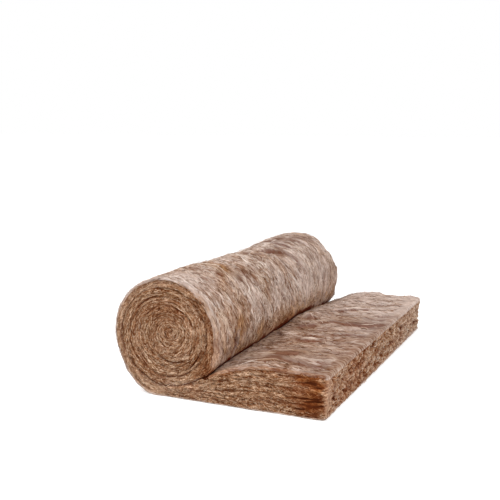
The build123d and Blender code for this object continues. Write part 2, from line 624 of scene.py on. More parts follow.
def roll_look(s, y, wander, fine_wander, patchy):
    """The roll's height over the plain outline, and how sunken and how stained its skin looks."""
    streak = marks(s, fine_wander, 0.09, 0.022, 22, 2)
    fine = marks(s, fine_wander, 0.035, 0.012, 23)
    broad = marks(s, y, 0.24, 0.15, 24)
    hollow, crest, step = ledges(s, wander, 0.046, 0.060, 21)
    height = 0.0026 * broad + 0.0036 * streak + 0.0022 * fine - 0.0042 * hollow + 0.0018 * crest

    olive = line_hump(s, y, (0.300, -0.450), (0.400, -0.270), 0.030)
    far_top = line_hump(s, y, (0.375, 0.200), (0.385, 0.540), 0.055)
    far_top = np.maximum(far_top, line_hump(s, y, (0.440, 0.330), (0.480, 0.540), 0.055))
    shaded = line_hump(s, y, (0.300, -0.270), (0.345, -0.190), 0.040)
    low_near = line_hump(s, y, (0.110, -0.545), (0.200, -0.545), 0.030)
    middle = line_hump(s, y, (0.320, -0.080), (0.365, -0.035), 0.030)
    strokes = smooth_step(marks(s, fine_wander, 0.045, 0.012, 34), 0.25, 0.55)
    top_left = hump(s, 0.41, 0.08) * fall(y, -0.46, -0.34)
    behind = hump(s, 0.43, 0.09) * fall(y, -0.35, -0.05) * (1 - top_left)
    coarse = far_marks(s, y)
    # Sunken: painted shade at the steps and where the relief is low, and darker patches
    sunken = 0.62 * step - 0.32 * streak - 0.22 * fine + 0.46 * far_top + 0.45 * shaded
    sunken = sunken + 0.10 * low_near + 0.14 * middle + 0.16 * olive + (0.26 + 0.30 * behind) * strokes
    sunken = sunken + 0.32 * (smooth_step(coarse, 0.10, 0.44) - smooth_step(-coarse, 0.06, 0.40))
    stain = (0.45 * patchy + 0.7 * olive + 0.1 * far_top) * (1 - 0.7 * top_left) + 0.3 * shaded
    return height, sunken, stain


def top_look(s, y, wander, fine_wander, patchy):
    """The same for the top of the tail."""
    soft = marks(s, wander, 0.16, 0.060, 32, 2)
    ripple = marks(s, fine_wander, 0.07, 0.022, 33, 2)
    hollow, crest, step = ledges(s, wander, 0.074, 0.075, 31)
    calm_lip = 0.15 + 0.85 * smooth_step(s - TOP_START, 0.004, 0.045)
    height = calm_lip * (0.0042 * soft + 0.0026 * ripple - 0.0062 * hollow + 0.0028 * crest)

    # Painted shade of the roll over the near part of the tail's top, which also browns it a little
    painted_near_shade = fall(y, 0.0, 0.36) * fall(s, TAIL_END - 0.10, TAIL_END - 0.03)
    near_edge = fall(y + HALF_WIDTH, 0.0, 0.014)
    patch = line_hump(s, y, *in_metres(((135, -510), (188, -400)), True), 0.034)
    # Sunken: painted shade at the steps, in the hollows and where the relief is low, and some darker spots
    sunken = calm_lip * (0.80 * step + 0.10 * hollow - 0.36 * soft - 0.36 * ripple) + 0.45 * painted_near_shade
    sunken = sunken + 0.12 * hump(y, 0.22, 0.14) - 0.14 * smooth_step(y, 0.35, 0.50) + 0.25 * near_edge
    sunken = sunken + (0.50 - 0.20 * soft) * patch
    return height, sunken, 0.15 * (patchy + painted_near_shade) + 0.20 * hump(s, TOP_START, 0.022) + 0.45 * patch


def skin_height(s, y):
    """Height of the skin over the plain outline, and how sunken and how stained it is, from 0 to 1."""
    wander = wandered(s, y)
    fine_wander = wander + 0.006 * marks(s, y, 0.03, 0.05, 12)
    patchy = smooth_step(marks(s, wander, 0.10, 0.06, 26, 2), 0.05, 0.45)
    roll, top = window(s, "roll", "foot"), window(s, "high_corner", "swell")
    cut, under = window(s, "low_corner", "cut"), window(s, "floor", "low_corner")
    looks = zip(*(look(s, y, wander, fine_wander, patchy) for look in (roll_look, top_look)))
    height, sunken, stain = (roll * on_roll + top * on_top for on_roll, on_top in looks)
    height += 0.0016 * cut * marks(s, y, 0.012, 0.012, 41, 2)
    height += under * (-0.0018 + 0.0008 * marks(s, y, 0.04, 0.04, 42))
    depth, crests, dark, furrow_stain = furrowed(s, y)
    tuft = tail_tuft(s, y)
    height = height - depth + crests + 0.010 * tuft

    # The dark line of the crease, from in_fold, is painted shade, and painted warmth browns the skin beside the
    # fold
    ragged = 0.007 * marks(s, y, 0.024, 0.024, 15, 2)
    breadth = crease_breadth(y)
    in_fold = fall(s + ragged - ROLL_START, 0.5 * breadth, 1.7 * breadth)
    in_fold = in_fold + smooth_step(s + 0.5 * ragged - TAIL_END, -0.008, -0.002) * (1 - tuft)
    # Beside the fold on the tail, painted light lifts the shade, and the painted warmth browns it
    tail_fold_painted_light = smooth_step(s, TAIL_END - 0.110, TAIL_END - 0.020)
    fold_painted_warmth = fall(s, ROLL_START + 0.06, ROLL_START + 0.16) * roll + 0.9 * tail_fold_painted_light
    stain = stain + furrow_stain + crease_warm_shade(y, 0.6) * fold_painted_warmth
    open_skin = np.maximum(plateau(s, ROLL_START, ROLL_START + 0.02, TAIL_END - 0.02, TAIL_END), 0.8 * tuft)
    calm = 0.65 + 0.35 * smooth_step(HALF_WIDTH - np.abs(y), 0, 0.035)
    sunken = np.clip(sunken + dark - 0.55 * tail_fold_painted_light, 0, 0.85) * open_skin + np.clip(in_fold, 0, 1)
    return height * calm * open_skin, np.clip(sunken, 0, 1), np.clip(stain, 0, 1)


def skin_paleness(s, y):
    """1 where the skin is palest: in patches, over the cut edges, and with painted light towards the far end.
    """
    ragged = 0.008 * marks(s, y, 0.06, 0.05, 18)
    from_near = y + HALF_WIDTH + ragged
    near_lip = fall(from_near, 0.012, 0.040) * smooth_step(s, ROLL_START + 0.10, ROLL_START + 0.22)
    near_back = fall(from_near, 0.05, 0.30) * hump(s, 0.39, 0.07)
    far_lip = fall(HALF_WIDTH - y + ragged, 0.015, 0.060)
    # Painted light beside the fold on the tail, where it lifts the shade
    fold_painted_light = smooth_step(s, TAIL_END - 0.110, TAIL_END - 0.020) * smooth_step(y + HALF_WIDTH, 0.010, 0.060)
    roll, top = window(s, "roll", "roll"), window(s, "high_corner", "swell")
    patch = smooth_step(marks(s, y, 0.10, 0.09, 19), 0.15, 0.7)
    # Painted light: paler towards the far end
    far = smooth_step(y, -0.10, 0.45)
    by_cut = fall(s - TOP_START, 0.03, 0.13) * top * smooth_step(y, -0.3, 0.1)
    far_light = smooth_step(-far_marks(s, y), 0.08, 0.42)
    pale = (0.8 * (near_lip + near_back) + 0.35 * far_light) * roll + 0.2 * far_lip
    pale = pale + 0.6 * patch * (1 - 0.5 * top) + (0.65 + 0.20 * top) * far + 0.7 * by_cut + 0.8 * fold_painted_light
    pale = pale * (1 - 0.5 * hump(s, TOP_START, 0.02)) + 0.8 * tail_tuft(s, y)
    # Painted highlight on the crests of the furrows
    return np.clip(pale + CREST_PAINTED_HIGHLIGHT * furrowed(s, y)[1], 0, 1)


# The relief and the tones of the wound ends and the cut end
def split_depth(x, z):
    """Depth in metres of the splits of the near end at each point."""
    angle = np.degrees(np.arctan2(z - ROLL[1], x - ROLL[0]))
    radius = np.hypot(x - ROLL[0], z - ROLL[1])
    depth = 0
    for angles, radii, deepest in SPLITS:
        first, last = angles[0], angles[-1]
        turned = np.mod(angle - first + 90, 360) + first - 90
        middle = np.interp(turned, angles, radii) / 1000 + 0.003 * marks(turned / 1000, 0, 0.02, 1.0, 51)
        opened = plateau(turned, first - 6, first + 6, last - 6, last + 6)
        depth = np.maximum(depth, deepest / 1000 * opened * hump(radius, middle, 0.0027))
    return depth


def layer_height(along):
    """How far apart the layers of the wool lie: further in the tail than where it is wound."""
    wound_from = CUT_X - CREASE[0]
    return 0.0125 - 0.0037 * smooth_step(along, wound_from, wound_from + 0.12)


def layer_wave(along, across, turn, seed):
    """How far the layers wander from their plain places, as a share of their height."""
    return 0.9 * marks(along, across, 0.110, 0.040, seed, 3, turn)


def drawn_over(along, share, turn, thickness):
    """1 where the skin is drawn over the edge of an end, and 0 further in."""
    across = share * thickness
    in_tail = (turn == -1) & (along < CUT_X - CREASE[0])
    edge = np.where(in_tail, np.minimum(across, thickness - across), np.where(turn == -1, across, 1.0))
    return fall(edge + 0.003 * marks(along, across, 0.016, 0.010, 97, 2), 0.0005, 0.0075)


def layer_gaps(along, across, turn, in_tail, seed):
    """The gaps between the layers of an end, from 0 to 1, and how far each layer stands out, from -1 to 1."""
    level = across / layer_height(along) + layer_wave(along, across, turn, seed) + 0.37 * turn
    gap = np.round(level)
    opened = smooth_step(marks(along, gap, 0.045, 1.0, seed + 3, 2, turn), -0.10, 0.40)
    proud = marks(along, np.floor(level), 0.050, 1.0, seed + 2, 2, turn)
    return hump(level, gap, 0.20) * opened * np.where(in_tail, 1.0, 0.75), proud


def turn_lines(x, z, along, share, turn, to_line, seed):
    """The lines between the turns, from 0 to 1. The outermost line is the strongest."""
    outermost = (turn == -1) | ((turn == 0) & (share < 0.5))
    weak = 0.05 + 0.50 * smooth_step(marks(along, 0.0, 0.045, 1.0, seed + 4, 2, turn), -0.15, 0.45)
    strong = 0.55 + 0.45 * smooth_step(marks(along, 0.0, 0.09, 1.0, seed + 4, 2), -0.35, 0.30)
    lead_in = hump(z, 0.060, 0.050) * plateau(x, -0.19, -0.15, 0.0, 0.03)
    return hump(to_line, 0, 0.0022) * np.where(outermost, np.maximum(strong, lead_in), weak)


def near_corner(x, z, ragged):
    """The dark corner and the orange band of the near end, beside the cut end."""
    before_edge = 1 - 0.85 * smooth_step(x + 0.8 * ragged, 0.333, 0.362)
    dark_corner = smooth_step(x + 2.6 * ragged, 0.215, 0.320) * hump(z, 0.050, 0.058) * before_edge
    band = line_hump(x, z + ragged, (0.270, 0.124), (0.358, 0.098), 0.012) * before_edge
    return dark_corner, band * smooth_step(x + 2.0 * ragged, 0.235, 0.320)


def end_depth(x, z, along, share, turn, thickness, to_line, seed):
    """How far each point of an end lies inside its plane, and how sunken, stained and pale it is."""
    across = share * thickness
    in_tail = along < CUT_X - CREASE[0] + 0.03
    near = seed == NEAR_SEED
    gap_line, proud = layer_gaps(along, across, turn, in_tail, seed)
    line = turn_lines(x, z, along, share, turn, to_line, seed)
    fleck = marks(along, across, 0.013, 0.0062, seed + 5, 2, turn)
    lump = marks(along, across, 0.030, 0.014, seed + 9, 1, turn)
    broad = marks(along, across, 0.12, 0.05, seed + 6, 1, turn)
    split = split_depth(x, z) if near else 0 * x
    depth = 0.0025 + 0.0052 * gap_line + 0.0080 * line + split
    depth = depth - 0.0022 * proud - 0.0028 * fleck - 0.0018 * lump - 0.0022 * broad

    ragged = 0.012 * marks(along, across, 0.05, 0.012, seed + 7, 2)
    streaky = smooth_step(marks(along, across, 0.050, 0.008, seed + 8, 2), -0.1, 0.4)
    dark_corner, band = (near * part for part in near_corner(x, z, ragged))
    dark_corner = dark_corner * in_tail
    strip = hump(thickness - across + 0.5 * ragged, 0.004, 0.010) * smooth_step(x, 0.0, 0.04) * in_tail
    foot = hump(z, 0, 0.007) * smooth_step(x, -0.10, 0.05)
    blush = hump(np.hypot(x - ROLL[0] - 0.015, 1.4 * (z - ROLL[1] - 0.062)), 0, 0.060) * near
    wrap_right = (turn == -1) * ~in_tail * smooth_step(x, ROLL[0] + 0.09, ROLL[0] + 0.15)
    # Sunken: painted shade in the gaps between layers, the lines between turns and the splits, less on proud
    # layers and flecks, and the stained corner and band
    sunken = 0.60 * gap_line + 0.80 * line + 100 * split - 0.25 * proud - 0.30 * fleck - 0.15 * lump
    sunken = sunken + (0.62 + 0.60 * streaky) * dark_corner + (0.50 + 0.50 * streaky) * band
    sunken = sunken + 0.12 * strip - 0.12 * fall(x, -0.05, 0.10) * in_tail
    stain = 0.9 * strip + 0.4 * foot + dark_corner + 1.2 * band + 0.5 * blush
    stain = stain + 0.25 * broad + 0.45 * wrap_right

    wrap = (turn == -1) * fall(x, -0.20, -0.10)
    heel = hump(x, -0.13, 0.12) * hump(z, 0.04, 0.04) * near
    arcs = smooth_step(proud, 0.1, 0.6) * hump(z, ROLL[1] - 0.07, 0.06) * (turn >= 0)
    corner = fall(CUT_X - x + 0.004 * marks(x, z, 0.02, 0.02, 95), 0.001, 0.009)
    pale = 0.40 * wrap + 0.35 * arcs + 0.15 * corner + 0.30 * heel
    return depth, np.clip(sunken, 0, 1), np.clip(stain, 0, 1), np.clip(pale, 0, 1)


def cut_depth(y, z):
    """The same for the cut end, which is torn and pitted."""
    grain = marks(y + 0.6 * z, z, 0.016, 0.009, CUT_SEED, 2)
    lumps = marks(y, z, 0.019, 0.014, CUT_SEED + 1)
    pit = np.clip(marks(y, z, 0.020, 0.011, CUT_SEED + 2, 2) - 0.22, 0, 1) / 0.22
    speck = np.clip(marks(y, z, 0.010, 0.008, CUT_SEED + 6) - 0.25, 0, 1) / 0.35
    for pit_y, pit_z in np.array(CUT_PITS) / 1000:
        pit = np.maximum(pit, 1.5 * hump(np.hypot(0.6 * (y - pit_y), 1.3 * (z - pit_z)), 0, 0.010))
    broad = marks(y, z, 0.11, 0.06, CUT_SEED + 3)
    split_z = 0.050 + 0.006 * marks(y, z, 0.06, 0.03, CUT_SEED + 4)
    layer = hump(z, split_z, 0.004) * smooth_step(marks(y, 0, 0.08, 1.0, CUT_SEED + 5), 0, 0.4)

    from_side = (y + HALF_WIDTH) / 0.052
    from_top = (THICKNESS - z) / (0.020 - 0.006 * (y + HALF_WIDTH))
    ragged = 0.5 * marks(y, z, 0.030, 0.014, 96, 2)
    side_lip, top_lip = (fall(distance + ragged, 0.45, 1.15) for distance in (from_side, from_top))
    lip = np.maximum(side_lip, top_lip)
    rough = 1 - 0.85 * lip
    depth = 0.003 + (0.0100 * pit + 0.0045 * speck + 0.004 * layer) * rough
    depth -= (0.0034 * lumps + 0.0024 * grain) * (1 - 0.5 * lip) + 0.0025 * broad

    corner_edge = hump(y + HALF_WIDTH, 0, 0.006)
    shaded = line_hump(y, z, (-0.330, 0.110), (-0.290, 0.040), 0.055)
    far = smooth_step(y, 0.12, 0.50)
    # Sunken: painted shade in the pits, specks and split layer, less on lumps and grain
    sunken = (pit + 0.8 * speck + 0.5 * layer - 0.30 * (lumps + grain)) * rough
    sunken = sunken + 0.30 * shaded + 0.20 * hump(z, 0.0, 0.024)
    tufts = smooth_step(lumps + grain, 0.15, 0.9) * rough
    pale = np.maximum(np.maximum(0.8 * top_lip, 0.60 * side_lip), 0.7 * tufts)
    pale = pale * (1 - 0.6 * corner_edge - 0.5 * shaded) + far
    stain = 0.3 * hump(z, 0.0, 0.025) + 0.30 * smooth_step(broad, 0.1, 0.6)
    stain = (stain + 0.4 * corner_edge + 0.15 * side_lip) * (1 - 0.7 * far) + 0.4 * shaded
    return depth, np.clip(sunken, 0, 1), np.clip(stain, 0, 1), np.clip(pale, 0, 1)


# The grain, which the material follows
def top_slope(x):
    """The slope of the top of the tail, as an angle."""
    reach = 0.002
    rise = np.interp(x + reach, *TOP_LINE) - np.interp(x - reach, *TOP_LINE)
    return np.arctan2(rise, 2 * reach)


def grain_heading(points):
    """The direction of the layers at points of an end, as an angle from +X."""
    reach = np.minimum(np.linalg.norm(points - ROLL, axis=1) / FIRST_LINE_RADIUS, 1)
    local = points - (EYE + reach[:, None] * (ROLL - EYE))
    round_heading = np.arctan2(local[:, 0], -local[:, 1])
    in_tail = mat_place(points)[0] < CUT_X - CREASE[0] + 0.05
    return np.where(in_tail, top_slope(points[:, 0]) * np.clip(points[:, 1] / THICKNESS, 0, 1), round_heading)


def place_grain(along, share, turn, thickness, _):
    """The grain of places in the mat, for a wound end."""
    return np.column_stack([along, share * thickness, turn + END_LAYER])


def cut_grain(y, z):
    """For places on the cut end: their grain, which is slanted."""
    slant = np.column_stack([y, z]) @ np.array([[0.8, -0.6], [0.6, 0.8]])
    return np.column_stack([slant[:, 0] * 1.6, slant[:, 1], np.full(len(y), CUT_LAYER)])


def even_grain(faces, flat, grain, runs):
    """The grain at each corner of the faces of an end, which doesn't jump from turn to turn in a face."""
    chief = faces.max(axis=1)
    offset = flat[faces] - flat[chief][:, None]
    run = runs[chief][:, None]
    inwards = np.stack([run[..., 1], -run[..., 0]], -1)
    steps = np.stack([(offset * run).sum(-1), (offset * inwards).sum(-1), 0 * offset[..., 0]], -1)
    own, followed = grain[faces], grain[chief][:, None] + steps
    same = np.abs(own - followed).max(axis=-1, keepdims=True) < 0.012
    return np.where(same, own, followed)


# The mesh of the mat
def patch(boundary, inner):
    """Triangles over a closed boundary and the points within it, as rows of numbers into the two together."""
    count = len(boundary)
    flat = [Vector(point) for point in np.concatenate([boundary, inner])]
    loop = [(i, (i + 1) % count) for i in range(count)]
    _, _, faces, sources, _, _ = delaunay_2d_cdt(flat, loop, [], 1, 1e-7)
    first = np.array([source[0] if source else -1 for source in sources])
    triangles = first[np.array(faces)]
    return triangles[(triangles >= 0).all(axis=1)]


def inside(points, boundary, margin):
    """Whether each point lies within a closed boundary, and at least a margin from its corners."""
    x, z = points.T
    crossings = np.zeros(len(points), dtype=int)
    nearest = np.full(len(points), np.inf)
    for (x0, z0), (x1, z1) in zip(boundary, np.roll(boundary, -1, axis=0)):
        nearest = np.minimum(nearest, (x - x0) ** 2 + (z - z0) ** 2)
        if z0 != z1:
            spans = (z0 > z) != (z1 > z)
            crossings += spans & (x < x0 + (z - z0) * (x1 - x0) / (z1 - z0))
    return (crossings % 2 == 1) & (nearest > margin**2)


def staggered(x_range, z_range, step, seed):
    """Points of a staggered grid over a rectangle, each a little off its place."""
    xs, zs = np.arange(*x_range, step), np.arange(*z_range, step * 0.87)
    x, z = np.meshgrid(xs, zs)
    x = x + (np.arange(len(zs)) % 2)[:, None] * step / 2
    shake = np.random.default_rng(seed).uniform(-0.16, 0.16, (2, *x.shape)) * step
    return np.stack([x + shake[0], z + shake[1]], -1).reshape(-1, 2)


def turned_steps(start, end, step):
    """Angles along the winding, an even distance apart."""
    angles = [start]
    while angles[-1] < end:
        radius = max(FIRST_LINE_RADIUS * (1 - angles[-1] / (2 * math.pi * TURNS)), step)
        angles.append(angles[-1] + step / radius)
    return np.array(angles)


def end_points(step):
    """Inner points of a wound end, in rows that follow the winding, with their places in the mat."""
    full = 2 * math.pi
    found = []
    for number, share in enumerate(np.linspace(0, 1, round(PITCH / step) + 1)[:-1]):
        angle = turned_steps(number * ROW_STAGGER, full * (TURNS - 0.03), step * 1.1)
        start, end = winding_line(angle), winding_line(angle + full)
        thickness = np.linalg.norm(end - start, axis=1)
        to_line = np.minimum(share, 1 - share) * thickness
        along, turn = wound_length(angle + full), np.floor(angle / full)
        place = (along, np.full(len(angle), share), turn, thickness, to_line)
        found.append(np.column_stack([start + share * (end - start), *place]))
    free = []
    for number, share in enumerate(np.linspace(0.08, 1, 9)[:-1]):
        angle = turned_steps(number * ROW_STAGGER, full, step * 1.1)
        outer = np.where(angle > CREASE_END, np.interp(angle, *LEAD_IN), np.interp(angle, *OUTSIDE))
        radius = outer + share * (np.interp(angle, *FIRST_LINE) - outer)
        free.append(ROLL + radius[:, None] * at_turn(angle))
    tail = staggered((ROLL[0], CUT_X), (0, THICKNESS + 0.01), step, TAIL_GRID_SEED)
    tail = tail[mat_place(tail)[2] == -1]
    free.append(winding_line(turned_steps(CREASE_TURN + 0.12, 0, step)))
    free.append(tail[(tail[:, 1] > 0) & (np.linalg.norm(tail - ROLL, axis=1) > 0.166)])
    found = np.concatenate(found + [np.column_stack([points, *mat_place(points)]) for points in free])
    _, kept = np.unique(np.round(found[:, :2] / (0.42 * step)), axis=0, return_index=True)
    return found[np.sort(kept)]


def columns():
    """Distances along the outline of the skin's columns, and which of them are on the cut end alone."""
    steps = dict.fromkeys(PIECES, TOP_STEP)
    steps |= {"roll": ROLL_STEP, "hang": BACK_STEP, "foot": BACK_STEP, "floor": FLOOR_STEP, "cut": CUT_STEP}
    steps |= {"low_corner": ROUND_STEP, "high_corner": ROUND_STEP}
    s, on_cut = [], []
    for name in PIECES:
        start, end = ends[name]
        count = max(2, math.ceil((end - start) / steps[name]))
        s.append(np.linspace(start, end, count, endpoint=False))
        on_cut.append(np.full(count, name == "cut") & (np.arange(count) > 0))
    return np.concatenate(s), np.concatenate(on_cut)


def rows():
    """Distances along the roll of the skin's rows, closer together at the rounded ends."""
    near = -HALF_WIDTH + np.array(NEAR_RIM_ROWS)
    far = HALF_WIDTH - np.array(FAR_RIM_ROWS)[::-1]
    count = round((far[0] - near[-1]) / WIDTH_STEP)
    return np.concatenate([near, np.linspace(near[-1], far[0], count + 1)[1:-1], far])


def skin_row(s, place, on_lip):
    """One row of the skin: its points, its tones in the order of TONES, and its grain."""
    y = np.full(len(s), place)
    points = skin_point(s, y)
    on_corner = CORNER_SHARE * CORNER_RADIUS * window(s, "cut", "cut") * (abs(place) == HALF_WIDTH)
    points -= np.column_stack([on_corner, np.sign(place) * on_corner, 0 * on_corner])
    on_skin = (skin_cover(s, y), *skin_height(s, y)[1:], skin_paleness(s, y))
    on_face = (0.0, *cut_depth(y, points[:, 2])[1:])
    near_radius, far_radius = rim_radii(s)
    stretch = rim_stretch(HALF_WIDTH - y, far_radius) - rim_stretch(y + HALF_WIDTH, near_radius)
    scale = np.where(s < ends["cut"][1], 1.0, TAIL_GRAIN)
    grain = np.column_stack([s, wandered(s, y) + stretch, 0 * s]) * scale[:, None]
    return points, [np.where(on_lip, face, skin) for face, skin in zip(on_face, on_skin)], grain


def end_patch(boundary, side, step, seed):
    """A wound end in its boundary: its faces, its points, their tones, and the grain at face corners."""
    inner = end_points(step)
    y = np.full(len(inner), side * HALF_WIDTH)
    z = inner[:, 1] + lift(inner[:, 0], y) * inner[:, 1] / THICKNESS
    moved = np.column_stack([inner[:, 0] + leaned(inner[:, 0], z, y), z])
    kept = inside(moved, boundary, 0.55 * step)
    inner, moved = inner[kept], moved[kept]
    faces = patch(boundary, moved)[:, ::-side]
    depth, *tones = end_depth(*inner.T, seed)
    place = side * (HALF_WIDTH - depth - corner_inset(CUT_X - inner[:, 0]))
    edge_grain = place_grain(*mat_place(boundary))
    edge_grain[:, 2] = SEAM_LAYER
    grain = np.concatenate([edge_grain, place_grain(*inner[:, 2:].T)])
    runs = -pointing(grain_heading(np.concatenate([boundary, inner[:, :2]])))
    grain = even_grain(faces, np.concatenate([boundary, moved]), grain, runs)
    points = np.column_stack([moved[:, 0], place, moved[:, 1]])
    return faces, points, [drawn_over(*inner[:, 2:6].T), *tones], grain.reshape(-1, 3)


def cut_patch(boundary):
    """The same for the cut end."""
    inner = staggered((-HALF_WIDTH, HALF_WIDTH), (0, THICKNESS + 0.01), CUT_STEP, CUT_GRID_SEED)
    inner = inner[inside(inner, boundary, 0.5 * CUT_STEP)]
    y, z = inner.T
    faces = patch(boundary, inner)
    depth, *tones = cut_depth(y, z)
    x = CUT_X - depth - corner_inset(HALF_WIDTH - np.abs(y)) + cut_lean(z, y)
    grain = cut_grain(*np.concatenate([boundary, inner]).T)[faces]
    return faces, np.column_stack([x, inner]), [0 * x, *tones], grain.reshape(-1, 3)


def add_values(mesh, name, values):
    """A number for each vertex of a mesh, for its material to read."""
    mesh.attributes.new(name, "FLOAT", "POINT").data.foreach_set("value", values)


def build_mat():
    """The mat as one closed mesh, with the attributes that its material reads."""
    s, on_cut = columns()
    y = rows()
    full_columns = np.flatnonzero(~on_cut)
    vertices, tones, grain = [], [], []
    numbers = np.full((len(y), len(s)), -1)
    total = 0
    for row, place in enumerate(y):
        picked = np.arange(len(s)) if row in (0, len(y) - 1) else full_columns
        numbers[row, picked] = total + np.arange(len(picked))
        total += len(picked)
        for kept, part in zip((vertices, tones, grain), skin_row(s[picked], place, on_cut[picked])):
            kept.append(part)

    low_column, high_column = np.flatnonzero(on_cut)[[0, -1]] + (-1, 1)
    keep = full_columns != low_column
    after = np.roll(full_columns, -1)
    triangles = []
    for row in range(len(y) - 1):
        a, b = numbers[row, full_columns], numbers[row, after]
        c, d = numbers[row + 1, after], numbers[row + 1, full_columns]
        triangles += [np.column_stack([a, c, b])[keep], np.column_stack([a, d, c])[keep]]
    corner_grain = [np.concatenate(grain)[np.concatenate(triangles)].reshape(-1, 3)]

    placed = np.concatenate(vertices)
    cut_edge = np.concatenate([
        numbers[:-1, low_column],
        numbers[-1, low_column:high_column],
        numbers[:0:-1, high_column],
        numbers[0, high_column:low_column:-1],
    ])
    patches = (
        (numbers[0], end_patch(placed[numbers[0]][:, [0, 2]], -1, NEAR_STEP, NEAR_SEED)),
        (numbers[-1], end_patch(placed[numbers[-1]][:, [0, 2]], 1, FAR_STEP, FAR_SEED)),
        (cut_edge, cut_patch(placed[cut_edge][:, [1, 2]])),
    )
    for edge, (faces, *parts) in patches:
        triangles.append(np.concatenate([edge, total + np.arange(len(parts[0]))])[faces])
        total += len(parts[0])
        for kept, part in zip((vertices, tones, corner_grain), parts):
            kept.append(part)

    mesh = bpy.data.meshes.new("wool_mat")
    mesh.from_pydata(np.concatenate(vertices).tolist(), [], np.concatenate(triangles).tolist())
    layer = mesh.attributes.new("grain", "FLOAT_VECTOR", "CORNER")
    layer.data.foreach_set("vector", np.concatenate(corner_grain).ravel())
    for name, values in zip(TONES, np.concatenate(tones, axis=1)):
        add_values(mesh, name, values)
    return mesh


# Loose strands
def strands(paths, outward, widths, flatness=0.6):
    """Closed tapering strands along paths of some steps each, as vertices and triangles."""
    count, steps, _ = paths.shape
    along = np.gradient(paths, axis=1)
    along /= np.linalg.norm(along, axis=2, keepdims=True) + 1e-12
    side = np.cross(along, outward)
    side /= np.linalg.norm(side, axis=2, keepdims=True) + 1e-12
    rise = np.cross(side, along)
    taper = np.sin(np.linspace(0, math.pi, steps))[1:-1] ** 0.6
    reach = 0.5 * widths[:, None, None] * taper[None, :, None]
    rings = []
    for corner in range(3):
        angle = 2 * math.pi * corner / 3 + math.pi / 2
        offset = math.cos(angle) * side[:, 1:-1] + flatness * math.sin(angle) * rise[:, 1:-1]
        rings.append(paths[:, 1:-1] + reach * offset)
    body = np.stack(rings, 2).reshape(count, -1, 3)
    vertices = np.concatenate([paths[:, :1], body, paths[:, -1:]], axis=1)
    vertices[..., 2] = np.maximum(vertices[..., 2], STRAND_FLOOR)

    each = 3 * (steps - 2) + 2
    last = 1 + 3 * (steps - 3)
    faces = []
    for corner in range(3):
        after = (corner + 1) % 3
        faces += [(0, 1 + corner, 1 + after), (each - 1, last + after, last + corner)]
        for ring in range(steps - 3):
            a, b = 1 + 3 * ring + corner, 1 + 3 * ring + after
            faces += [(a, b + 3, b), (a, a + 3, b + 3)]
    triangles = np.array(faces)[None] + each * np.arange(count)[:, None, None]
    return vertices.reshape(-1, 3), triangles.reshape(-1, 3)


def linked(name, data):
    """A new object of the scene."""
    made = bpy.data.objects.new(name, data)
    bpy.context.collection.objects.link(made)
    return made


def add_piece(name, mesh, material):
    """A smooth piece of wool that rides on the part's one body."""
    mesh.shade_smooth()
    mesh.materials.append(material)
    piece = linked(name, mesh)
    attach(piece, "root")
    return piece


def add_strands(name, random, paths, outward, widths, shades, paleness, stains, material):
    """A piece of strands, paler where what they lie on is, and mostly near the smaller width."""
    count = len(paths)
    tint = np.clip(random.uniform(*shades, count) + paleness, 0, 1)
    widths = widths[0] + (widths[1] - widths[0]) * random.uniform(0, 1, count) ** 2
    vertices, triangles = strands(paths, outward, widths)
    mesh = bpy.data.meshes.new(name)
    mesh.from_pydata(vertices.tolist(), [], triangles.tolist())
    for key, values in (("shade", tint), ("stain", stains)):
        add_values(mesh, key, np.repeat(values, len(vertices) // count))
    add_piece(name, mesh, material)


def wander_paths(random, starts, headings, lengths, steps, curl):
    """Winding paths over a flat chart, from their middles, with headings from the first axis."""
    lengths = random.uniform(*lengths, len(starts))
    turns = random.normal(0, curl, (len(starts), steps)).cumsum(axis=1)
    turns += np.linspace(-1, 1, steps) * random.normal(0, 2.5 * curl, (len(starts), 1))
    heading = headings[:, None] + turns - turns[:, steps // 2, None]
    path = (pointing(heading) * (lengths / (steps - 1))[:, None, None]).cumsum(axis=1)
    return starts[:, None] + path - path[:, steps // 2, None]


def lay_on_skin(name, random, paths, widths, shades, loft, from_end=0.003):
    """Strands on the skin along paths over its chart, which gives distance along the outline and y."""
    sunken = skin_height(*paths.reshape(-1, 2).T)[1].reshape(paths.shape[:2])
    kept = (np.abs(paths[..., 1]) < HALF_WIDTH - from_end).all(axis=1)
    kept &= sunken[:, 1:-1].max(axis=1) < random.uniform(0.35, 0.95, len(paths))
    paths = paths[kept]
    count, steps, _ = paths.shape
    arch = np.sin(np.linspace(0, math.pi, steps)) ** 0.7
    top = random.uniform(0.0002, 0.0018, count) + loft * random.uniform(0, 1, count) ** 9
    raised = (-STUCK_DEPTH + (top[:, None] + STUCK_DEPTH) * arch).ravel()
    s, y = paths.reshape(-1, 2).T
    near_radius, far_radius = rim_radii(s)
    turned = rim_angle(HALF_WIDTH - y, far_radius) - rim_angle(HALF_WIDTH + y, near_radius)
    placed = skin_point(s, y, raised * np.cos(turned))
    placed[:, 1] += raised * np.sin(turned)
    normal = section(s)[1] * np.cos(turned)[:, None]
    outward = np.column_stack([normal[:, 0], np.sin(turned), normal[:, 1]])
    placed, outward = placed.reshape(count, steps, 3), outward.reshape(count, steps, 3)
    middle = paths[:, steps // 2].T
    # The strands take the paleness of the skin, its painted light included, and its stain with the painted
    # warmth
    paleness, stain = 0.15 * skin_paleness(*middle), skin_height(*middle)[2]
    add_strands(name, random, placed, outward, widths, shades, paleness, stain, SKIN_STRANDS)


def swaying_paths(random, starts, headings, span, lengths, steps):
    """Paths over the skin between two distances along the outline, in locks that sway together."""
    heading = 0.45 * marks(*starts.T, 0.16, 0.10, 16) + random.normal(0, headings, len(starts))
    paths = wander_paths(random, starts, heading, lengths, steps, 0.15)
    return paths[((paths[..., 0] > span[0]) & (paths[..., 0] < span[1])).all(axis=1)]


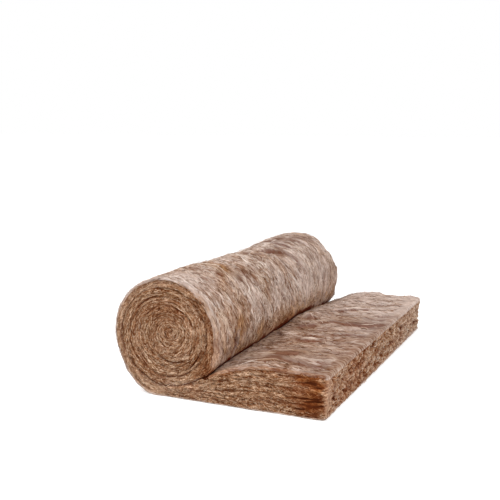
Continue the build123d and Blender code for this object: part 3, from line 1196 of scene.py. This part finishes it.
def skin_strands(name, seed, count, span, headings, lengths, widths, shades, loft, steps):
    """Strands that lie on the skin, denser in some places than in others."""
    random = np.random.default_rng(seed)
    s = random.uniform(*span, 2 * count)
    starts = np.column_stack([s, random.uniform(-HALF_WIDTH, HALF_WIDTH, 2 * count)])
    density = 0.5 + 0.5 * marks(*starts.T, 0.08, 0.030, seed + 50, 2)
    starts = starts[random.uniform(0, 1, 2 * count) ** 0.7 < 1.25 * density][:count]
    paths = swaying_paths(random, starts, headings, span, lengths, steps)
    lay_on_skin(name, random, paths, widths, shades, loft)


def rim_strands(name, seed, count, span, lengths, widths, shades, steps=6):
    """Strands over the broad round of the far rim, spread evenly over its surface."""
    random = np.random.default_rng(seed)
    quarter = 0.5 * math.pi
    s = random.uniform(*span, count)
    starts = np.column_stack([s, random.uniform(0, quarter, count) * FAR_RIM_RADIUS])
    s, over = np.moveaxis(swaying_paths(random, starts, 0.5, span, lengths, steps), -1, 0)
    across = np.minimum(over, 0) + FAR_RIM_RADIUS * np.sin(np.clip(over / FAR_RIM_RADIUS, 0, quarter))
    paths = np.stack([s, HALF_WIDTH - FAR_RIM_RADIUS + across], -1)
    lay_on_skin(name, random, paths, widths, shades, 0.003, 0.0001)


def swirling_locks(name, seed, locks, on_tail, widths, shades, loft, steps=12):
    """Pale locks that swirl over the skin, each of several strands along a few of its places."""
    random = np.random.default_rng(seed)
    paths = []
    for places, count, spread in locks:
        places = in_metres(places, on_tail)
        for _ in range(count):
            first, last = np.sort(random.uniform(-0.15, 1.15, 2)).clip(0, 1) * (len(places) - 1)
            last = max(last, first + 1.2)
            share = np.linspace(first, last, steps).clip(0, len(places) - 1.001)
            path = np.stack([np.interp(share, np.arange(len(places)), values) for values in places.T], -1)
            for _ in range(3):
                path[1:-1] = 0.25 * path[:-2] + 0.5 * path[1:-1] + 0.25 * path[2:]
            spread_now = spread / 1000 * random.choice([0.25, 0.25, 1.2])
            drift = random.normal(0, spread_now, 2)
            drift = drift + np.linspace(-1, 1, steps)[:, None] * random.normal(0, 0.5 * spread_now, 2)
            paths.append(path + drift + np.linspace(0, 0.002, steps)[:, None])
    lay_on_skin(name, random, np.array(paths), widths, shades, loft)


def strand_depth(random, depth, highest):
    """How deep strands lie inside the plane of a face, over its smoothed depth, with raised middles."""
    count, steps = depth.shape
    arch = np.sin(np.linspace(0, math.pi, steps))
    raised = -STUCK_DEPTH + (random.uniform(0.0004, highest, count)[:, None] + STUCK_DEPTH) * arch
    return 0.5 * depth + 0.5 * depth.mean(axis=1, keepdims=True) - raised


def add_face_strands(name, random, placed, outward, widths, stain, pale, material):
    """The strands of one end, all with the same outward direction."""
    outward = np.broadcast_to(outward, placed.shape)
    paleness, stains = 0.2 * pale.mean(axis=1), stain.mean(axis=1)
    add_strands(name, random, placed, outward, widths, (0.0, 1.0), paleness, stains, material)


def follow_layers(paths, seed):
    """Paths over an end, bent so that they keep to the layers that they start in."""
    flat = paths.reshape(-1, 2)
    along, share, turn, thickness, _ = mat_place(flat)
    wave = layer_wave(along, share * thickness, turn, seed) * layer_height(along)
    wave = wave.reshape(paths.shape[:2])
    moved = (wave[:, wave.shape[1] // 2, None] - wave).ravel()[:, None]
    heading = grain_heading(flat)
    return (flat + moved * np.stack([-np.sin(heading), np.cos(heading)], -1)).reshape(paths.shape)


def rim_depth(points, side):
    """How far the skin's rounded rim lies inside the plane of an end, at points of the section."""
    numbers, distance = np.array([OUTLINE_TREE.find((*point, 0))[1:] for point in points]).T
    s = TABLE["s"][numbers.astype(int)]
    radius = rim_radii(s)[0 if side < 0 else 1]
    distance = np.maximum(distance + girth(s, side * HALF_WIDTH) * free_side(s, section(s)[0][:, 1]), 0)
    return rim_inset(distance, radius) * (1 - window(s, "low_corner", "high_corner"))


def end_strands(name, side, seed, count, lengths, widths, steps=6):
    """Strands that lie along the layers of one wound end."""
    random = np.random.default_rng(seed)
    end_seed = NEAR_SEED if side < 0 else FAR_SEED
    starts = np.column_stack([
        random.uniform(ROLL[0] - ROLL_RADIUS, CUT_X - 0.004, count),
        random.uniform(0.004, ROLL[1] + ROLL_RADIUS, count),
    ])
    outline_points = TABLE["point"][::24]
    starts = starts[inside(starts, outline_points, 0.006)]
    heading = grain_heading(starts) + random.normal(0, 0.34, len(starts))
    paths = follow_layers(wander_paths(random, starts, heading, lengths, steps, 0.20), end_seed)
    kept = inside(paths.reshape(-1, 2), outline_points, 0.003).reshape(paths.shape[:2]).all(axis=1)
    paths = paths[kept]
    flat = paths.reshape(-1, 2)
    looks = *end_depth(*flat.T, *mat_place(flat), end_seed), rim_depth(flat, side)
    depth, sink, stain, pale, rim = (part.reshape(paths.shape[:2]) for part in looks)
    open_face = sink.mean(axis=1) < random.uniform(0.05, 0.6, len(paths))
    open_face &= (pale + 30 * rim).max(axis=1) < random.uniform(0.4, 1.2, len(paths))
    paths, depth, rim, stain, pale = (part[open_face] for part in (paths, depth, rim, stain, pale))
    x, z = paths[..., 0], paths[..., 1]
    y = side * (HALF_WIDTH - strand_depth(random, depth + corner_inset(CUT_X - x), 0.0020) - rim)
    lifted = z + lift(x, y) * z / THICKNESS
    placed = np.stack([x + leaned(x, lifted, y), y, lifted], -1)
    add_face_strands(name, random, placed, (0.0, float(side), 0.0), widths, stain, pale, CUT_STRANDS)


def cut_strands(name, seed, count, lengths, widths, steps=6):
    """Strands that stick to the torn cut end."""
    random = np.random.default_rng(seed)
    starts = np.column_stack([
        random.uniform(-HALF_WIDTH + 0.01, HALF_WIDTH - 0.01, count),
        random.uniform(0.008, THICKNESS - 0.008, count),
    ])
    heading = random.choice([0.0, 0.5, -0.6, 1.4], count) + random.normal(0, 0.35, count)
    y, z = np.moveaxis(wander_paths(random, starts, heading, lengths, steps, 0.18), -1, 0)
    kept = ((np.abs(y) < HALF_WIDTH - 0.006) & (z > 0.004) & (z < THICKNESS - 0.006)).all(axis=1)
    y, z = y[kept], z[kept]
    depth, sink, stain, pale = (part.reshape(y.shape) for part in cut_depth(y.ravel(), z.ravel()))
    open_face = sink.mean(axis=1) < random.uniform(0.05, 0.5, len(y))
    on_lip = fall(np.minimum((y + HALF_WIDTH) / 0.05, (THICKNESS - z) / 0.018), 0.45, 1.15)
    open_face &= on_lip.max(axis=1) < random.uniform(0.2, 1.1, len(y))
    y, z, depth, stain, pale = (part[open_face] for part in (y, z, depth, stain, pale))
    x = CUT_X - strand_depth(random, depth, 0.0022) - corner_inset(HALF_WIDTH - np.abs(y)) + cut_lean(z, y)
    placed = np.stack([x, y, z], -1)
    add_face_strands(name, random, placed, (1.0, 0.0, 0.0), widths, stain, pale, CUT_FACE_STRANDS)


# Materials
def linear(red, green, blue):
    """A shader colour from the screen's values, 0 to 255."""
    parts = (part / 255 for part in (red, green, blue))
    return (*(part / 12.92 if part <= 0.04045 else ((part + 0.055) / 1.055) ** 2.4 for part in parts), 1.0)


class Nodes:
    """A short way to write the nodes of a material or of the world."""

    def __init__(self, owner):
        owner.use_nodes = True
        self.tree = owner.node_tree

    def add(self, kind, *inputs, **settings):
        """A new node, with its first inputs and its settings."""
        node = self.tree.nodes.new(kind)
        for key, value in settings.items():
            setattr(node, key, value)
        for socket, value in zip(node.inputs, inputs):
            self.set(socket, value)
        return node

    def set(self, socket, value):
        """Links an input, or gives it a value."""
        if isinstance(value, bpy.types.NodeSocket):
            self.tree.links.new(value, socket)
        elif value is not None:
            socket.default_value = value

    def fill(self, node, values):
        """The same for a node's inputs by their names."""
        for name, value in values.items():
            self.set(node.inputs[name], value)
        return node

    def attribute(self, name, output="Fac"):
        """What the mesh says."""
        return self.add("ShaderNodeAttribute", attribute_name=name).outputs[output]

    def math(self, operation, *values):
        """A sum of numbers."""
        return self.add("ShaderNodeMath", *values, operation=operation).outputs[0]

    def weighted(self, *parts):
        """The sum of some values, each given with its weight."""
        total = 0.0
        for value, weight in parts:
            total = self.math("MULTIPLY_ADD", value, weight, total)
        return total

    def mix(self, factor, first, second, blend="MIX", kind="Color"):
        """One of two colours or, where the kind is Float, of two numbers, or something between them."""
        data_type = "RGBA" if kind == "Color" else "FLOAT"
        node = self.add("ShaderNodeMix", data_type=data_type, blend_type=blend)
        for name, value in (("Factor_Float", factor), (f"A_{kind}", first), (f"B_{kind}", second)):
            self.set(next(socket for socket in node.inputs if socket.identifier == name), value)
        return next(socket for socket in node.outputs if socket.identifier == f"Result_{kind}")

    def streaks(self, vector, per_metre, seed, angle=0.0, detail=2.0, distortion=0.0):
        """Noise from 0 to 1 in marks along the vector's first axis, turned by an angle in its plane."""
        turned = self.add("ShaderNodeMapping", vector, (seed, 1.7 * seed, 0.3 * seed), (0, 0, angle))
        scaled = self.add("ShaderNodeVectorMath", turned.outputs[0], per_metre, operation="MULTIPLY")
        values = {"Scale": 1.0, "Detail": detail, "Roughness": 0.65, "Distortion": distortion}
        return self.fill(self.add("ShaderNodeTexNoise", scaled.outputs[0]), values).outputs[0]

    def thread(self, noise_value, width):
        """1 along thin lines where a noise crosses its middle, and 0 between them."""
        away = self.math("ABSOLUTE", self.math("SUBTRACT", noise_value, 0.5))
        return self.add("ShaderNodeMapRange", away, 0.0, width, 1.0, 0.0).outputs[0]

    def ramp(self, factor, places, colours):
        """Colours by a factor, each at its place."""
        node = self.add("ShaderNodeValToRGB", factor)
        elements = node.color_ramp.elements
        while len(elements) < len(places):
            elements.new(1.0)
        for element, place, colour in zip(elements, places, colours):
            element.position = place
            element.color = colour
        return node.outputs[0]

    def background_rays(self):
        """1 for rays that show the plain background: the camera's, reflected and transmitted ones."""
        rays = self.add("ShaderNodeLightPath").outputs
        seen = self.math("MAXIMUM", rays["Is Camera Ray"], rays["Is Glossy Ray"])
        return self.math("MAXIMUM", seen, rays["Is Transmission Ray"])

    def wool_finish(self, colour, bump_height, distance):
        """A matt, slightly soft surface with fine relief."""
        relief = {"Strength": 1.0, "Distance": distance, "Height": bump_height}
        bump = self.fill(self.add("ShaderNodeBump"), relief).outputs[0]
        finish = {"Base Color": colour, "Roughness": 0.93, "Specular IOR Level": 0.04, "Normal": bump}
        self.fill(self.tree.nodes["Principled BSDF"], finish)


def wool_material():
    """The wool of the mat: its skin, and the torn wool of its ends."""
    material = bpy.data.materials.new("glass_wool")
    nodes = Nodes(material)
    grain = nodes.attribute("grain", "Vector")
    skin, sunken, stain, pale = (nodes.attribute(name) for name in TONES)

    broad = nodes.streaks(grain, (16, 85, 1), 3.1, 0.10, 2.0, 0.6)
    fine = nodes.streaks(grain, (44, 210, 1), 7.7, -0.10, 1.0)
    speck = nodes.streaks(grain, (95, 270, 1), 5.2, 0.0, 1.0)
    patches = nodes.streaks(grain, (13, 38, 1), 51.0, 0.1, 1.0, 0.5)
    hairs = nodes.math(
        "MAXIMUM",
        nodes.thread(nodes.streaks(grain, (17, 120, 1), 21.0, 0.30, 1.0), 0.045),
        nodes.thread(nodes.streaks(grain, (19, 95, 1), 33.0, -0.40, 1.0), 0.035),
    )
    mixed = nodes.weighted((fine, 0.32), (broad, 0.22), (speck, 0.29), (patches, 0.17))
    skin_colours = linear(98, 58, 34), linear(157, 120, 95), linear(195, 166, 149), linear(244, 227, 217)
    skin_colour = nodes.ramp(mixed, (0.395, 0.455, 0.51, 0.575), skin_colours)
    skin_colour = nodes.mix(nodes.math("MULTIPLY", hairs, 0.5), skin_colour, linear(236, 217, 205))

    layers = nodes.streaks(grain, (16, 105, 1), 41.0, 0.0, 1.0, 0.5)
    flecks = nodes.streaks(grain, (62, 250, 1), 17.0, 0.0, 2.0)
    grit = nodes.streaks(grain, (190, 330, 1), 27.0, 0.0, 1.0)
    cut_mixed = nodes.weighted((flecks, 0.42), (layers, 0.30), (grit, 0.28))
    cut_colours = linear(94, 44, 20), linear(149, 101, 68), linear(187, 144, 111), linear(244, 214, 186)
    colour = nodes.mix(skin, nodes.ramp(cut_mixed, (0.38, 0.455, 0.52, 0.59), cut_colours), skin_colour)

    cloud = nodes.streaks(grain, (7, 12, 1), 12.3, 0.0, 2.0)
    clouds = (0.80, 0.72, 0.62, 1), (0.98, 0.96, 0.94, 1), (1.06, 1.04, 1.03, 1)
    colour = nodes.mix(0.8, colour, nodes.ramp(cloud, (0.38, 0.50, 0.62), clouds), "MULTIPLY")
    stained = nodes.mix(1.0, colour, nodes.mix(skin, CUT_STAIN, SKIN_STAIN), "MULTIPLY")
    colour = nodes.mix(stain, colour, stained)
    # Pale brings the lip colour: pale lips and patches, and painted light towards the far end, by the fold and
    # on crests
    lip_colour = nodes.mix(skin, linear(212, 182, 160), linear(229, 210, 201))
    colour = nodes.mix(nodes.math("MULTIPLY", pale, 0.5), colour, lip_colour)
    # Sunken brings the hollow colour: painted shade in hollows, gaps, pits, furrows and the crease, and darker
    # patches
    hollow_colour = nodes.mix(skin, linear(104, 48, 22), linear(94, 52, 30))
    colour = nodes.mix(nodes.math("MULTIPLY", sunken, 0.85), colour, hollow_colour)
    # The deepest places turn dark red: on the skin the painted shade of the crease, on the ends that of the
    # deepest lines, splits and pits
    deepest = nodes.add("ShaderNodeMapRange", sunken, 0.80, 1.0, 0.0, 0.95).outputs[0]
    colour = nodes.mix(deepest, colour, nodes.mix(skin, linear(84, 38, 16), linear(110, 34, 9)))
    relief = nodes.math("MULTIPLY_ADD", hairs, 0.12, mixed)
    nodes.wool_finish(colour, nodes.mix(skin, cut_mixed, relief, kind="Float"), 0.010)
    return material


def strand_material(name, stain_colour, *colours):
    """Strands from the darkest colour to the palest, by their shade."""
    material = bpy.data.materials.new(name)
    nodes = Nodes(material)
    place = nodes.add("ShaderNodeTexCoord").outputs["Object"]
    dusty = nodes.streaks(place, (140, 140, 140), 2.2, 0.0, 1.0)
    factor = nodes.math("MULTIPLY_ADD", dusty, 0.5, nodes.math("SUBTRACT", nodes.attribute("shade"), 0.25))
    colour = nodes.ramp(factor, (0.0, 0.35, 0.65, 1.0), [linear(*colour) for colour in colours])
    stained = nodes.mix(1.0, colour, stain_colour, "MULTIPLY")
    nodes.wool_finish(nodes.mix(nodes.attribute("stain"), colour, stained), dusty, 0.001)
    return material


def add_mat():
    """The mat itself, in place of its plain solid."""
    mat = add_piece("wool_mat", build_mat(), wool_material())
    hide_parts("insulation_mat")


# Stain colours, which also warm the painted shade beside the crease and on the near part of the tail's top
SKIN_STAIN, CUT_STAIN = linear(222, 192, 156), linear(210, 166, 122)
SKIN_SHADES = (104, 64, 38), (174, 140, 117), (212, 186, 169), (250, 236, 226)
CUT_SHADES = (98, 52, 26), (156, 110, 76), (194, 152, 118), (246, 216, 186)
CUT_FACE_SHADES = (98, 56, 30), (160, 118, 88), (200, 166, 140), (250, 232, 214)
SKIN_STRANDS = strand_material("skin_strands", SKIN_STAIN, *SKIN_SHADES)
CUT_FACE_STRANDS = strand_material("cut_face_strands", CUT_STAIN, *CUT_FACE_SHADES)
CUT_STRANDS = strand_material("cut_strands", CUT_STAIN, *CUT_SHADES)

# The calls give a seed, a number of strands, where they lie, how much their headings differ, and ranges of
# length, width and shade. Last come how far the highest strand stands up, and the steps of each strand.
ROLL_SPAN = (ROLL_START + 0.016, ends["foot"][1] - 0.02)
TOP_SPAN = (TOP_START + 0.010, TAIL_END - 0.006)
SHORT, LONG = (0.012, 0.052), (0.040, 0.130)
THIN, COMMON, THICK = (0.0006, 0.0016), (0.0008, 0.0032), (0.0010, 0.0036)
add_mat()
skin_strands("roll_strands", 101, 8500, ROLL_SPAN, 0.40, SHORT, COMMON, (-0.15, 1.15), 0.006, 6)
rim_strands("far_rim_strands", 109, 620, ROLL_SPAN, SHORT, COMMON, (-0.05, 1.05))
skin_strands("roll_crossing_strands", 102, 1100, ROLL_SPAN, 1.0, LONG, THIN, (0.50, 1.0), 0.008, 11)
swirling_locks("roll_locks", 107, ROLL_LOCKS, False, (0.0022, 0.0046), (0.95, 1.0), 0.006)
swirling_locks("tail_locks", 108, TAIL_LOCKS, True, (0.0022, 0.0042), (0.85, 1.0), 0.004)
skin_strands("tail_strands", 103, 2000, TOP_SPAN, 0.40, (0.014, 0.060), THICK, (-0.15, 0.85), 0.004, 8)
end_strands("near_end_strands", -1, 104, 15500, (0.006, 0.026), (0.0007, 0.0028))
end_strands("far_end_strands", 1, 105, 6000, (0.012, 0.040), (0.0010, 0.0030))
cut_strands("cut_end_strands", 106, 9000, (0.007, 0.024), COMMON)


# Floor, light and camera
def floor_material(colour, camera_glow):
    """A plain pale surface that looks brighter to the camera than it lights its surroundings."""
    material = bpy.data.materials.new("pale_floor")
    nodes = Nodes(material)
    shader, output = (nodes.tree.nodes[name] for name in ("Principled BSDF", "Material Output"))
    plain = {"Base Color": (colour, colour, colour, 1), "Roughness": 1.0, "Specular IOR Level": 0.0}
    nodes.fill(shader, plain)
    strength = nodes.math("MULTIPLY", nodes.background_rays(), camera_glow)
    glow = nodes.add("ShaderNodeEmission", (1, 1, 1, 1), strength)
    both = nodes.add("ShaderNodeAddShader", shader.outputs[0], glow.outputs[0])
    nodes.set(output.inputs[0], both.outputs[0])
    return material


def add_floor(size=40.0):
    """A floor of that size each way from the middle, which isn't part of the object."""
    mesh = bpy.data.meshes.new("floor")
    corners = [(-size, -size, 0), (size, -size, 0), (size, size, 0), (-size, size, 0)]
    mesh.from_pydata(corners, [], [(0, 1, 2, 3)])
    mesh.materials.append(floor_material(0.80, 0.55))
    linked("floor", mesh)


def add_world():
    """White to the camera, and softer where it lights the object."""
    world = bpy.data.worlds.new("studio")
    bpy.context.scene.world = world
    nodes = Nodes(world)
    strength = nodes.add("ShaderNodeMapRange", nodes.background_rays(), 0.0, 1.0, AMBIENT, 1.0)
    nodes.fill(nodes.tree.nodes["Background"], {"Color": (1, 1, 1, 1), "Strength": strength.outputs[0]})


def add_lamp(name, place, target, size, power):
    """A soft square lamp that looks at its target."""
    lamp = bpy.data.lights.new(name, "AREA")
    lamp.size = size
    lamp.energy = power
    holder = linked(name, lamp)
    holder.location = place
    holder.rotation_euler = (Vector(target) - Vector(place)).to_track_quat("-Z", "Y").to_euler()


def add_camera():
    """The photograph's view, fitted to the outline of the mat."""
    azimuth, elevation, distance = math.radians(24.23), math.radians(8.98), 3.129
    target = Vector((-0.1485, 0, 0.399))
    level = math.cos(elevation)
    back = Vector((math.sin(azimuth) * level, -math.cos(azimuth) * level, math.sin(elevation)))
    data = bpy.data.cameras.new("camera")
    data.sensor_width = 36
    data.lens = 59.1
    camera = linked("camera", data)
    camera.location = target + distance * back
    camera.rotation_euler = (-back).to_track_quat("-Z", "Y").to_euler()
    bpy.context.scene.camera = camera


add_floor()
add_world()
add_lamp("key", (-1.6, -1.4, 3.0), (0, 0, 0.2), 1.4, 60)
add_lamp("fill", (2.8, -1.6, 1.6), (0.1, 0, 0.15), 2.0, 52)
add_camera()
bpy.context.scene.view_settings.view_transform = "Standard"
